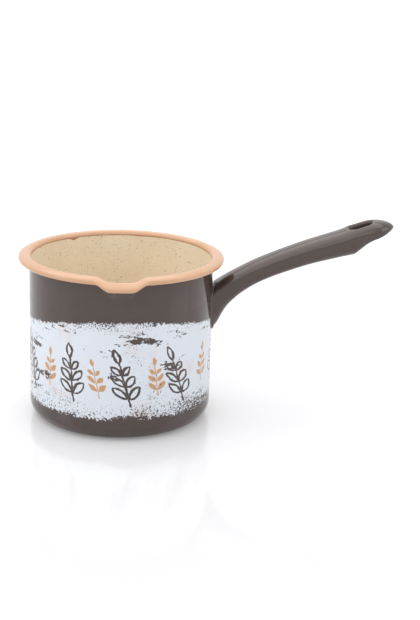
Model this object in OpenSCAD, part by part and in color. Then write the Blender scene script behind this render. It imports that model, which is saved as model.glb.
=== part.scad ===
// Small enamelled steel saucepan with a rolled rim, a pouring lip and a hollow welded handle.
// +Z is up and the origin is the middle of the base, on the surface that the pan stands on.
// The handle runs along +X and the pouring lip faces -Y.

/* [Pan body] */
// Outside diameter of the straight wall, over its enamel
body_d = 140; // [110:1:180]
// Height from the table to the top of the rim
body_h = 127; // [116:1:160]
// Outside radius of the corner between the base and the wall
corner_r = 11.5; // [8:0.5:16]
// Thickness of the body's sheet steel
body_sheet_t = 0.9; // [0.7:0.05:1.1]
// Thickness of one coat of enamel
enamel_t = 0.3; // [0.2:0.05:0.4]

/* [Rolled rim] */
// Radius of the shoulder where the wall bends out into the rim
shoulder_r = 3; // [2.5:0.25:4]
// Radius of the rim's gently arched top
rim_crown_r = 13; // [10:0.5:16]
// Radius of the rim's outer edge
rim_edge_r = 2; // [1.8:0.1:2.4]
// Gap between the end of the curled sheet and the enamelled wall
curl_gap = 0.5; // [0.4:0.05:0.8]

/* [Pouring lip] */
// Half the width of the pouring lip, along the wall
lip_half_w = 19; // [14:0.5:24]
// How far the lip stands out past the round rim
lip_out = 6; // [3:0.5:8]
// How far the lip dips below the round rim at the wall
lip_dip = 2.2; // [1:0.1:3]
// How much further the lip's outer edge bends down
lip_droop = 1.8; // [0.5:0.1:2.5]
// Height of the trough that is pressed in the wall under the lip
lip_trough_h = 18; // [12:1:24]

/* [Printed band] */
// Height of the printed band's lower edge above the rounded base corner
band_foot_gap = 1.5; // [0.5:0.5:10]
// Drop from the top of the rim to the printed band's upper edge
band_drop = 31; // [29:1:50]
// Thickness of the fired print
band_t = 0.05; // [0.04:0.01:0.08]
// Bare margin between the print and the handle
band_margin = 2.5; // [1:0.5:4]

/* [Handle] */
// Length of the handle, from the wall to its tip
handle_len = 138; // [110:1:170]
// Drop from the top of the rim to the top of the handle where it meets the wall
handle_root_drop = 23; // [19:1:28]
// Rise of the handle from its root to its highest point
handle_rise = 51; // [35:1:60]
// Width of the handle at its widest, near the hang slot
handle_w = 29; // [27:0.5:34]
// Height of the handle's upper pressing above the seam line
handle_crown_h = 9.5; // [8:0.5:11]
// Thickness of the handle's sheet steel
handle_sheet_t = 0.9; // [0.7:0.05:1.1]
// Gap between the two pressings that the seam weld fills
seam_gap = 0.8; // [0.5:0.1:1.2]
// Leg of the weld fillet between the handle and the wall
root_weld_leg = 1.4; // [1:0.1:2]

/* [Hang slot] */
// Length of the hang slot, inside its enamel
slot_len = 18; // [16:0.5:20]
// Width of the hang slot, inside its enamel
slot_w = 12.5; // [10:0.5:13.5]
// Radius of the rolled edge round the top of the hang slot
slot_edge_r = 3.2; // [2.6:0.2:3.6]

/* [Hidden] */

brown = "#5f5450";
peach = "#f0c8aa";
cream = "#d9c3a0";
print_blue = "#e0e8f3";
steel = "#8d9296";
weld_grey = "#6f7377";

body_r = body_d / 2;
half_sheet = body_sheet_t / 2;
face_out = half_sheet + enamel_t;
wall_mid_r = body_r - face_out;
wall_steel_r = body_r - enamel_t;
corner_mid_r = corner_r - face_out;
shoulder_mid_r = shoulder_r - face_out;
wall_top_z = body_h - shoulder_r;
band_z = corner_r + band_foot_gap;
band_h = body_h - band_drop - band_z;
handle_root_z = body_h - handle_root_drop;
trough_z = wall_top_z - lip_trough_h;
lip_a = lip_half_w / body_r * 180 / PI;

// Turns of the sheet, in degrees, from the wall over the rim and back under it; the lining ends just
// past the wall, at the foot of the shoulder
lining_turn = 5;
shoulder_turn = 90 - lining_turn;
crown_turn = 25;
edge_turn = 172;
arc_step = 15;
trough_steps = 6;
lip_steps = 20;
lip_flat_share = 0.35;
trough_foot_share = 0.3;
// How far the lip's piece reaches into the round ring, and how much thinner it is there
lip_overlap = 1;
lip_inset = 0.08;
round_fn = 180;
overrun = 1;

// Straight stretches of the sheet are [length, 0, steps] and bends are [radius, turn, steps]
edge_heading = -crown_turn - edge_turn;
rim_edge_mid_r = rim_edge_r - face_out;
rim_crown_mid_r = rim_crown_r - face_out;
crown_run = rim_crown_mid_r * sin(crown_turn);
edge_run = rim_edge_mid_r * (sin(-edge_heading) - sin(crown_turn));
tuck_from_r = wall_mid_r + shoulder_mid_r + crown_run + edge_run;
tuck_len = (tuck_from_r - body_r - curl_gap) / -cos(edge_heading);
sheet_runs = [
    [wall_mid_r - corner_mid_r, 0, 1],
    [corner_mid_r, 90, bend_steps(90)],
    [trough_z - corner_r, 0, 1],
    [lip_trough_h, 0, trough_steps],
    [shoulder_mid_r, -lining_turn, bend_steps(lining_turn)],
    [shoulder_mid_r, -shoulder_turn, bend_steps(shoulder_turn)],
    [rim_crown_mid_r, -crown_turn, bend_steps(crown_turn)],
    [rim_edge_mid_r, -edge_turn, bend_steps(edge_turn)],
    [tuck_len, 0, 1]
];
LOWER_WALL = 2;
UPPER_WALL = 3;
LINING_END = 4;
RIM_START = 5;
TUCK = 8;

function bend_steps(a) = ceil(a / arc_step);
function ahead(h) = [cos(h), sin(h)];
function left(h) = [-sin(h), cos(h)];
function bend_end(p, h, r, a) = p + sign(a) * r * (left(h) - left(h + a));
function run_points(p, h, s) = [
    for (i = [0 : s[2]])
        let (f = i / s[2])
        s[1] == 0 ? [p + f * s[0] * ahead(h), h] : [bend_end(p, h, s[0], f * s[1]), h + f * s[1]]
];
function trace(runs, p, h, i = 0) =
    i == len(runs) ? [] :
    let (q = run_points(p, h, runs[i]), e = q[len(q) - 1])
    concat([q], trace(runs, e[0], e[1], i + 1));

sheet = trace(sheet_runs, [0, face_out], 0);

function stretch(first, last) = [
    for (i = [first : last])
        for (j = [(i == first ? 0 : 1) : len(sheet[i]) - 1])
            sheet[i][j]
];
function beside(line, d) = [for (q = line) q[0] + d * left(q[1])];
function backward(v) = [for (i = [len(v) - 1 : -1 : 0]) v[i]];
function layer_outline(first, last, low, high) =
    let (line = stretch(first, last))
    concat(beside(line, low), backward(beside(line, high)));

function clamp01(v) = max(0, min(1, v));
function ease(v) = let (c = clamp01(v)) c * c * (3 - 2 * c);

// The lip pushes a point of the round profile out and down; it fades to nothing at its sides and foot
function lip_point(p, a) =
    let (
        up = clamp01((p[1] - trough_z) / lip_trough_h),
        reach = lip_a * (trough_foot_share + (1 - trough_foot_share) * up),
        side = clamp01((1 - abs(a) / reach) / (1 - lip_flat_share)),
        push = ease(up) * ease(side),
        out_share = clamp01((p[0] - body_r) / (rim_edge_r + rim_crown_r / 2))
    )
    [p[0] + push * lip_out, p[1] - push * (lip_dip + lip_droop * out_share)];

function around(p, a) = [p[0] * cos(a - 90), p[0] * sin(a - 90), p[1]];

// Faces of a skin whose rings of m points follow each other, without ends; flip turns it inside out
function skin_faces(rings, m, from = 0, flip = false) = [
    for (i = [0 : rings - 2])
        for (j = [0 : m - 1])
            for (half = [0, 1])
                let (
                    a = from + i * m + j,
                    b = from + i * m + (j + 1) % m,
                    f = half == 0 ? [a, b, b + m] : [a, b + m, a + m]
                )
                flip ? backward(f) : f
];
function ring_face(from, m) = [for (j = [0 : m - 1]) from + j];
// End of a thin layer, as a ladder of triangles between its two sides; m points from number from
function ladder_faces(from, m) = [
    for (i = [0 : m / 2 - 2])
        for (half = [0, 1])
            let (
                a = from + i,
                b = from + m - 1 - i
            )
            half == 0 ? [a, a + 1, b - 1] : [a, b - 1, b]
];

// Outline of a layer from the trough's foot up, thinner by the inset on each side and at its free ends
function lip_outline(first, last, low, high, inset) =
    let (
        line = stretch(max(first, UPPER_WALL), last),
        n = len(line),
        foot = line[0],
        tip = line[n - 1],
        standing = first <= LOWER_WALL,
        starts = standing ? [-lip_overlap, lip_overlap] : [inset],
        rows = concat(
            [for (d = starts) [foot[0] + d * ahead(foot[1]), foot[1], standing ? lip_inset : inset]],
            [for (i = [1 : n - 2]) [line[i][0], line[i][1], inset]],
            [[tip[0] - inset * ahead(tip[1]), tip[1], inset]]
        )
    )
    concat(
        [for (q = rows) q[0] + (low + q[2]) * left(q[1])],
        [for (q = backward(rows)) q[0] + (high - q[2]) * left(q[1])]
    );

// The lip's piece of a layer, whose thinner ends reach into the round ring
module lip_wedge(first, last, low, high) {
    plain = lip_outline(first, last, low, high, 0);
    thinner = lip_outline(first, last, low, high, lip_inset);
    m = len(plain);
    reach_a = lip_a + lip_overlap / body_r * 180 / PI;
    rings = concat(
        [[for (p = thinner) around(p, -reach_a)]],
        [
            for (i = [1 : lip_steps - 1])
                let (a = lip_a * (2 * i / lip_steps - 1))
                [for (p = plain) around(lip_point(p, a), a)]
        ],
        [[for (p = thinner) around(p, reach_a)]]
    );
    polyhedron(
        points = [for (r = rings) each r],
        faces = concat(
            skin_faces(len(rings), m),
            [for (f = ladder_faces(0, m)) backward(f)],
            ladder_faces((len(rings) - 1) * m, m)
        )
    );
}

// Sector that is cut from the round ring for the lip's piece
module lip_sector() {
    far = 2 * body_r;
    translate([0, 0, trough_z])
        linear_extrude(height = body_h)
            polygon([[0, 0], far * [-sin(lip_a), -cos(lip_a)], far * [sin(lip_a), -cos(lip_a)]]);
}

// One layer of the body: a round one, with the lip's piece set in it
module body_layer(first, last, low, high) {
    difference() {
        rotate_extrude($fn = round_fn)
            polygon(layer_outline(first, last, low, high));
        lip_sector();
    }
    lip_wedge(first, last, low, high);
}

module body_pressing() {
    color(steel)
        body_layer(0, TUCK, -half_sheet, half_sheet);
}

module lining_enamel() {
    color(cream)
        body_layer(0, LINING_END, half_sheet, face_out);
}

module rim_enamel() {
    color(peach)
        body_layer(RIM_START, TUCK, half_sheet, face_out);
}

module outer_enamel() {
    color(brown)
        difference() {
            body_layer(0, UPPER_WALL, -face_out, -half_sheet);
            root_window(0);
        }
}

// Opening in a coat of the wall where the handle and its weld stand on the steel.
// It reaches past the coat by more than the round wall falls back over its width
module root_window(margin) {
    grow = root_weld_leg + margin;
    reach = wall_sag(handle_w / 2 + grow, 0) + overrun;
    handle_solid(0, [[0, -reach, grow], [0, reach, grow]]);
}

module printed_band() {
    color(print_blue)
        difference() {
            translate([0, 0, band_z])
                rotate_extrude($fn = round_fn)
                    translate([body_r, 0])
                        square([band_t, band_h]);
            root_window(band_margin);
        }
}

// Handle form. Each station holds shares: along the length, top and bottom of the rise, width, crown
handle_shares = [
    [-0.020, -0.060, -0.760, 1.00, 0.80],
    [0.000, -0.028, -0.690, 0.98, 0.78],
    [0.030, 0.035, -0.590, 0.94, 0.78],
    [0.060, 0.092, -0.425, 0.91, 0.79],
    [0.100, 0.163, -0.265, 0.88, 0.80],
    [0.250, 0.381, 0.031, 0.87, 0.84],
    [0.500, 0.654, 0.300, 0.91, 0.86],
    [0.700, 0.835, 0.448, 0.97, 0.93],
    [0.760, 0.902, 0.484, 0.99, 0.96],
    [0.785, 0.924, 0.508, 1.00, 0.97],
    [0.850, 0.981, 0.668, 1.00, 0.98],
    [0.900, 1.000, 0.752, 0.98, 0.96],
    [1.020, 1.010, 0.890, 0.80, 0.90]
];
ALONG = 0;
TOP = 1;
BOTTOM = 2;
WIDTH = 3;
CROWN = 4;
nose_share = 0.9;
nose_drop_share = 0.91;
root_blend_share = 0.15;
weld_shares = [[0, 1], [0.12, 0.62], [0.35, 0.3], [1, 0]];
step_share = 0.75;
grip_rings = 13;
ring_spacing_power = 1.25;
step_rings = 6;
nose_rings = 9;
nose_end_turn = 79;
section_steps = 11;
crown_power = 2.35;
belly_power = 2.8;
nose_power = 1.5;
nose_belly_power = 1;
nose_lift_power = 1.25;
steel_d = enamel_t;
inside_d = enamel_t + handle_sheet_t;

// Smooth value of column c of the stations at share s, with even slopes through the stations
function station_below(s, i = 1) =
    i >= len(handle_shares) - 3 || s < handle_shares[i + 1][ALONG] ? i : station_below(s, i + 1);
function station_slope(i, c) =
    let (before = handle_shares[i - 1], after = handle_shares[i + 1])
    (after[c] - before[c]) / (after[ALONG] - before[ALONG]);
function station_value(s, c) =
    let (
        i = station_below(s),
        here = handle_shares[i],
        next = handle_shares[i + 1],
        step = next[ALONG] - here[ALONG],
        t = (s - here[ALONG]) / step,
        t2 = t * t,
        t3 = t2 * t
    )
    (2 * t3 - 3 * t2 + 1) * here[c]
        + (t3 - 2 * t2 + t) * step * station_slope(i, c)
        + (3 * t2 - 2 * t3) * next[c]
        + (t3 - t2) * step * station_slope(i + 1, c);

// How much of a half size is left at share s, where the nose closes
function nose_left(s, power) =
    let (nose = clamp01((s - nose_share) / (1 - nose_share)))
    pow(1 - pow(nose, power), 1 / power);
// A half size d further in, scaled alike where the nose closes
function thinned(v, full, d) = v * (1 - d / full);

function seam_share(s) = station_value(s, TOP) - station_value(s, CROWN) * handle_crown_h / handle_rise;
function nose_lift_share(s) =
    let (nose = clamp01((s - nose_share) / (1 - nose_share)))
    pow(nose, nose_lift_power) * (nose_drop_share - seam_share(nose_share));

// A ring of the handle, d in from its enamel: [x at its middle, seam z, half width, crown, belly, half gap]
function handle_ring(s, d) =
    let (
        flat = min(s, nose_share),
        seam = seam_share(flat) + nose_lift_share(s),
        crown = station_value(flat, CROWN) * handle_crown_h,
        belly = (seam_share(flat) - station_value(flat, BOTTOM)) * handle_rise,
        half_w = station_value(flat, WIDTH) * handle_w / 2
    )
    [
        body_r + s * (handle_len - d),
        handle_root_z + seam * handle_rise,
        thinned(half_w * nose_left(s, nose_power), half_w, d),
        thinned(crown * nose_left(s, nose_power), crown, d),
        thinned(belly * nose_left(s, nose_belly_power), belly, d),
        seam_gap / 2 * nose_left(s, nose_power)
    ];

function rounded(v, power) = sign(v) * pow(abs(v), 2 / power);
// How far the round wall falls back from its front at y, fading out along the handle
function wall_sag(y, s) = clamp01(1 - s / root_blend_share) * (body_r - sqrt(body_r * body_r - y * y));

// Half a ring over (side 1) or under (side -1) the seam, from -Y to +Y. Its place is [s, lift, grow]:
// the share along the handle, and near the root how far off the wall and how much wider it is
function half_ring(place, d, side) =
    let (
        s = place[0],
        q = handle_ring(s, d),
        power = side > 0 ? crown_power : belly_power,
        h = (side > 0 ? q[CROWN_H] : q[BELLY_H]) + place[2]
    )
    [
        for (i = [0 : section_steps])
            let (
                a = 180 * i / section_steps,
                y = -(q[HALF_W] + place[2]) * rounded(cos(a), power),
                z = q[SEAM_Z] + side * (q[HALF_GAP] + (h - q[HALF_GAP]) * rounded(sin(a), power))
            )
            [q[MID_X] + place[1] - wall_sag(y, s), y, z]
    ];
MID_X = 0;
SEAM_Z = 1;
HALF_W = 2;
CROWN_H = 3;
BELLY_H = 4;
HALF_GAP = 5;

function whole_ring(place, d) = concat(half_ring(place, d, 1), backward(half_ring(place, d, -1)));

// Places of the rings along the handle, after those at its root
along_places = concat(
    [for (i = [1 : grip_rings]) [step_share * pow(i / grip_rings, ring_spacing_power), 0, 0]],
    [for (i = [1 : step_rings]) [step_share + (nose_share - step_share) * i / step_rings, 0, 0]],
    [for (i = [1 : nose_rings]) [nose_share + (1 - nose_share) * sin(nose_end_turn * i / nose_rings), 0, 0]]
);
root_places = [[0, -enamel_t, 0], [0, root_weld_leg, 0]];
function weld_places(base) = [
    for (w = weld_shares)
        [0, w[0] == 0 ? -enamel_t : base + w[0] * root_weld_leg, w[1] * root_weld_leg]
];

// Solid form of the handle, d in from its enamel
module handle_solid(d, places) {
    rings = [for (p = places) whole_ring(p, d)];
    m = len(rings[0]);
    polyhedron(
        points = [for (r = rings) each r],
        faces = concat(
            skin_faces(len(rings), m),
            [backward(ring_face(0, m)), ring_face((len(rings) - 1) * m, m)]
        )
    );
}

// One pressing: side 1 is the crown above the seam, side -1 the belly below it
module handle_shell(side) {
    n = section_steps + 1;
    places = concat(root_places, along_places);
    rings = [
        for (p = places)
            let (outer = half_ring(p, steel_d, side), inner = half_ring(p, inside_d, side))
            side > 0 ? concat(outer, backward(inner)) : concat(backward(outer), inner)
    ];
    m = 2 * n;
    last = (len(rings) - 1) * m;
    polyhedron(
        points = [for (r = rings) each r],
        faces = concat(
            skin_faces(len(rings), m),
            [for (f = ladder_faces(0, m)) backward(f)],
            [
                ring_face(last, n),
                ring_face(last + n, n),
                [last, last + n - 1, last + n, last + m - 1]
            ]
        )
    );
}

// Coat of enamel round both pressings and over the root weld
module handle_coat() {
    outer = [for (p = concat(weld_places(0), along_places)) whole_ring(p, 0)];
    inner = [for (p = concat(weld_places(-enamel_t), along_places)) whole_ring(p, steel_d)];
    m = len(outer[0]);
    n = len(outer);
    from = n * m;
    polyhedron(
        points = concat([for (r = outer) each r], [for (r = inner) each r]),
        faces = concat(
            skin_faces(n, m),
            skin_faces(n, m, from, true),
            [ring_face((n - 1) * m, m), backward(ring_face(from + (n - 1) * m, m))],
            [
                for (j = [0 : m - 1])
                    for (half = [0, 1])
                        let (k = (j + 1) % m)
                        half == 0 ? [k, j, from + j] : [k, from + j, from + k]
            ]
        )
    );
}

// Hang slot, square to the handle's top where it lies, with its edge rolled in from that top
slot_share = 0.81;
slope_step_share = 0.02;
slot_rise = station_value(slot_share + slope_step_share, TOP) - station_value(slot_share - slope_step_share, TOP);
slot_tilt = atan(slot_rise * handle_rise / (2 * slope_step_share * handle_len));
slot_x = body_r + slot_share * handle_len;
slot_z = handle_root_z + station_value(slot_share, TOP) * handle_rise;
slot_end_steps = 14;
roll_turn = 70;
roll_steps = 4;
// How far the rolled edge's cutter comes out over the handle's top
slot_edge_clear = 0.3;

// Height of the handle's top over the slot's plane, at u along the slot and y across it
function slot_top(u, y) =
    let (
        s = (slot_x + u * cos(slot_tilt) - body_r) / handle_len,
        q = handle_ring(s, 0),
        fall = pow(1 - pow(abs(y) / q[HALF_W], crown_power), 1 / crown_power),
        z = q[SEAM_Z] + q[HALF_GAP] + (q[CROWN_H] - q[HALF_GAP]) * fall
    )
    (z - slot_z - u * sin(slot_tilt)) * cos(slot_tilt);

// Points round the slot at distance h from its middle line, as [u, y]
function slot_round(h) = [
    for (end = [1, -1])
        for (i = [0 : slot_end_steps])
            let (a = 180 * (i / slot_end_steps - 0.5) + 90 * (1 - end))
            [end * (slot_len - slot_w) / 2 + h * cos(a), h * sin(a)]
];
function slot_ring(h, below) = [for (p = slot_round(h)) [p[0], p[1], slot_top(p[0], p[1]) - below]];
function flat_ring(h, z) = [for (p = slot_round(h)) [p[0], p[1], z]];

// Solid of the slot, grown by d all round
module slot_cutter(d) {
    arc_r = slot_edge_r - d;
    roll_h = slot_w / 2 + slot_edge_r - arc_r * cos(roll_turn);
    rim_h = roll_h + (arc_r * (1 - sin(roll_turn)) + slot_edge_clear) * tan(roll_turn);
    rings = concat(
        [flat_ring(rim_h, handle_crown_h), slot_ring(rim_h, d - slot_edge_clear)],
        [
            for (i = [roll_steps : -1 : 0])
                let (t = roll_turn * i / roll_steps)
                slot_ring(slot_w / 2 + slot_edge_r - arc_r * cos(t), slot_edge_r - arc_r * sin(t))
        ],
        [flat_ring(slot_w / 2 + d, -handle_w)]
    );
    m = len(rings[0]);
    translate([slot_x, 0, slot_z])
        rotate([0, -slot_tilt, 0])
            polyhedron(
                points = [for (r = rings) each r],
                faces = concat(
                    skin_faces(len(rings), m),
                    [backward(ring_face(0, m)), ring_face((len(rings) - 1) * m, m)]
                )
            );
}

module handle_upper_pressing() {
    color(steel)
        difference() {
            union() {
                handle_shell(1);
                intersection() {
                    slot_cutter(inside_d);
                    handle_solid(steel_d, along_places);
                }
            }
            slot_cutter(steel_d);
        }
}

module handle_lower_pressing() {
    color(steel)
        difference() {
            handle_shell(-1);
            slot_cutter(inside_d);
        }
}

// Two strips of weld metal between the edges of the pressings, one on each side of the handle
module handle_seam_weld() {
    color(weld_grey)
        for (side = [-1, 1]) {
            rings = [
                for (p = concat(root_places, along_places))
                    let (
                        over = [for (d = [steel_d, inside_d]) half_ring(p, d, 1)[side < 0 ? 0 : section_steps]],
                        under = [for (d = [inside_d, steel_d]) half_ring(p, d, -1)[side < 0 ? 0 : section_steps]]
                    )
                    concat(over, under)
            ];
            faces = concat(
                skin_faces(len(rings), 4),
                [backward(ring_face(0, 4)), ring_face((len(rings) - 1) * 4, 4)]
            );
            polyhedron(
                points = [for (r = rings) each r],
                faces = side < 0 ? faces : [for (f = faces) backward(f)]
            );
        }
}

// Fillet of weld metal all round the joint between the handle and the wall
module handle_root_weld() {
    corner = whole_ring([0, -enamel_t, 0], steel_d);
    fillet = [for (p = weld_places(-enamel_t)) whole_ring(p, steel_d)];
    loops = concat([corner], fillet);
    m = len(corner);
    n = len(loops);
    color(weld_grey)
        polyhedron(
            points = [for (r = loops) each r],
            faces = concat(
                skin_faces(n, m),
                [
                    for (j = [0 : m - 1])
                        for (half = [0, 1])
                            let (a = (n - 1) * m + j, b = (n - 1) * m + (j + 1) % m)
                            half == 0 ? [a, b, (j + 1) % m] : [a, (j + 1) % m, j]
                ]
            )
        );
}

module handle_enamel() {
    color(brown)
        difference() {
            union() {
                handle_coat();
                intersection() {
                    slot_cutter(steel_d);
                    handle_solid(0, along_places);
                }
            }
            slot_cutter(0);
        }
}

body_pressing();
outer_enamel();
lining_enamel();
rim_enamel();
printed_band();
handle_upper_pressing();
handle_lower_pressing();
handle_seam_weld();
handle_root_weld();
handle_enamel();
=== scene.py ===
"""Enamelled milk pan: smooth fired coats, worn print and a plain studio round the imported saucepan.

Sizes are in millimetres inside the classes and become metres when a mesh is made.
"""
import logging
import math
from dataclasses import dataclass, field
from enum import Enum, IntEnum
from typing import Any, Callable, Iterable, Optional, Sequence, Union

import bmesh
import bpy
import numpy as np
from mathutils import Matrix, Vector


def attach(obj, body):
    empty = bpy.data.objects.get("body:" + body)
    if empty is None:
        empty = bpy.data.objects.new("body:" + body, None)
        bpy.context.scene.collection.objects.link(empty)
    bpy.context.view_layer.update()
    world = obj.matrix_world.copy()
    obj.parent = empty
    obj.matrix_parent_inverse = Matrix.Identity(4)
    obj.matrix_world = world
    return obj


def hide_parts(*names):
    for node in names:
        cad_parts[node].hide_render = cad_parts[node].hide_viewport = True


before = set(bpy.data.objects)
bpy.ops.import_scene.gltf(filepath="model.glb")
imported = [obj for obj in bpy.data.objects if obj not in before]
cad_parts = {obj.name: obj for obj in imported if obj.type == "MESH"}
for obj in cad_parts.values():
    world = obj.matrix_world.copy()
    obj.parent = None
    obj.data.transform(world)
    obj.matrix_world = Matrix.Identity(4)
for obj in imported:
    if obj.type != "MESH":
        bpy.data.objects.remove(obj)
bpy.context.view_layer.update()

LOG = logging.getLogger("milk_pan")
MM = 0.001
MERGE_M = 1e-6
BODY = "root"
# Point attribute for painted shade along the rim coat's inner edge, where it steps onto the lining.
EDGE_SHADE = "thin_coat"
WHITE = (1.0, 1.0, 1.0, 1.0)
Colour = tuple[float, float, float, float]
Face = tuple[int, ...]
Number = Union[float, "Signal"]
Values = Union[float, np.ndarray]


class Side(Enum):
    """Which half of the handle a point lies on."""

    CROWN = 1
    BELLY = -1


class Run(IntEnum):
    """Runs of the sheet's path, from the base's middle to the end of the curl."""

    BASE = 0
    CORNER = 1
    WALL = 2
    TROUGH = 3
    LINING_TURN = 4
    SHOULDER = 5
    CROWN = 6
    EDGE = 7
    TUCK = 8


class Slot(Enum):
    """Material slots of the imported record."""

    STEEL = "sheet_steel"
    WELD = "weld_metal"
    BROWN = "brown_enamel"
    CREAM = "cream_enamel"
    PEACH = "peach_enamel"
    PRINT = "fired_print"


# Plain helpers


def srgb(red: int, green: int, blue: int) -> Colour:
    """Turn a screen colour into the linear one that shaders take.

    Args:
        red, green, blue: screen values from 0 to 255.

    Returns:
        Linear red, green and blue, with alpha 1.
    """
    parts = [v / 255 for v in (red, green, blue)]
    linear = [v / 12.92 if v <= 0.04045 else ((v + 0.055) / 1.055) ** 2.4 for v in parts]
    return (*linear, 1.0)


def ease(value: Values) -> Values:
    """Smooth step from 0 to 1, flat outside that span."""
    t = np.clip(value, 0, 1)
    return t * t * (3 - 2 * t)


def left_of(heading: Values) -> np.ndarray:
    """Direction to the left of a heading in radians, or of each of them."""
    return np.stack([-np.sin(heading), np.cos(heading)], -1)


def wrapped(angle: float) -> float:
    """The same angle between minus and plus half a turn."""
    return (angle + math.pi) % math.tau - math.pi


def linked(name: str, data: Any) -> bpy.types.Object:
    """Make an object of a mesh, camera or lamp, and put it in the scene.

    Args:
        name: name of the object.
        data: what it holds.

    Returns:
        The object.
    """
    made = bpy.data.objects.new(name, data)
    bpy.context.scene.collection.objects.link(made)
    return made


def face_outwards(mesh: bpy.types.Mesh, merge: bool = False) -> None:
    """Turn a closed mesh's faces outwards and shade them smooth.

    Args:
        mesh: the mesh to change.
        merge: whether points at one place are made one first.
    """
    work = bmesh.new()
    work.from_mesh(mesh)
    if merge:
        bmesh.ops.remove_doubles(work, verts=work.verts, dist=MERGE_M)
    bmesh.ops.recalc_face_normals(work, faces=work.faces)
    if work.calc_volume(signed=True) < 0:
        bmesh.ops.reverse_faces(work, faces=work.faces)
    for face in work.faces:
        face.smooth = True
    work.to_mesh(mesh)
    work.free()


def mesh_object(
    name: str, points: np.ndarray, faces: Iterable[Face], thin: Optional[np.ndarray] = None
) -> bpy.types.Object:
    """Make a smooth mesh object at the origin from points in millimetres.

    Args:
        name: name of the object and its mesh.
        points: one row of x, y, z a point.
        faces: corner numbers of each face.
        thin: how much painted shade each point gets, from 0 to 1.

    Returns:
        The object, with doubles merged and its faces turned outwards.
    """
    mesh = bpy.data.meshes.new(name)
    mesh.from_pydata([tuple(p) for p in np.asarray(points) * MM], [], [tuple(f) for f in faces])
    if thin is not None:
        values = np.asarray(thin, dtype=np.float32)
        mesh.attributes.new(EDGE_SHADE, "FLOAT", "POINT").data.foreach_set("value", values)
    face_outwards(mesh, merge=True)
    return linked(name, mesh)


def run_modifiers(thing: bpy.types.Object) -> bpy.types.Mesh:
    """Plain mesh of an object once its modifiers have run.

    Args:
        thing: the object, which stays as it is.

    Returns:
        A new mesh.
    """
    bpy.context.view_layer.update()
    graph = bpy.context.evaluated_depsgraph_get()
    return bpy.data.meshes.new_from_object(thing.evaluated_get(graph))


def ring_numbers(rings: int, per_ring: int, first: int = 0) -> list[range]:
    """Numbers of the points in rings of one size that follow each other."""
    return [range(first + i * per_ring, first + (i + 1) * per_ring) for i in range(rings)]


def ring_faces(rings: Sequence[Sequence[int]]) -> list[Face]:
    """Quads between rings that follow each other, each closed on itself.

    Args:
        rings: numbers of the points of each ring.

    Returns:
        Corner numbers of the quads.
    """
    faces = []
    for here, there in zip(rings, rings[1:]):
        for j, corner in enumerate(here):
            k = (j + 1) % len(here)
            faces.append((corner, here[k], there[k], there[j]))
    return faces


def finish_piece(piece: bpy.types.Object, slot: Slot, material: bpy.types.Material, *nodes: str) -> None:
    """Dress a piece and tell the frame what it is.

    Args:
        piece: the finished mesh object.
        slot: record slot that the piece takes its finish from; not used.
        material: what it is dressed in.
        nodes: CAD nodes that it stands for.
    """
    piece.data.materials.clear()
    piece.data.materials.append(material)
    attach(piece, BODY)
    if nodes:
        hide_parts(*nodes)
    count, stands_for = len(piece.data.polygons), ", ".join(nodes) or "nothing"
    LOG.info("%s: %d faces, stands for %s", piece.name, count, stands_for)


# Shader building


class Signal:
    """An output of a node, which makes Math nodes when it is computed with."""

    def __init__(self, wiring: "Wiring", socket: bpy.types.NodeSocket) -> None:
        """Keep the socket and the tree that it is in."""
        self.wiring, self.socket = wiring, socket

    def __add__(self, other: Number) -> "Signal":
        """Sum."""
        return self.wiring.math("ADD", self, other)

    def __sub__(self, other: Number) -> "Signal":
        """Difference."""
        return self.wiring.math("SUBTRACT", self, other)

    def __rsub__(self, other: float) -> "Signal":
        """What a number is more than this."""
        return self.wiring.math("SUBTRACT", other, self)

    def __mul__(self, other: Number) -> "Signal":
        """Product."""
        return self.wiring.math("MULTIPLY", self, other)

    def __truediv__(self, other: Number) -> "Signal":
        """Quotient."""
        return self.wiring.math("DIVIDE", self, other)

    def __abs__(self) -> "Signal":
        """Size without the sign."""
        return self.wiring.math("ABSOLUTE", self)


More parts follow.
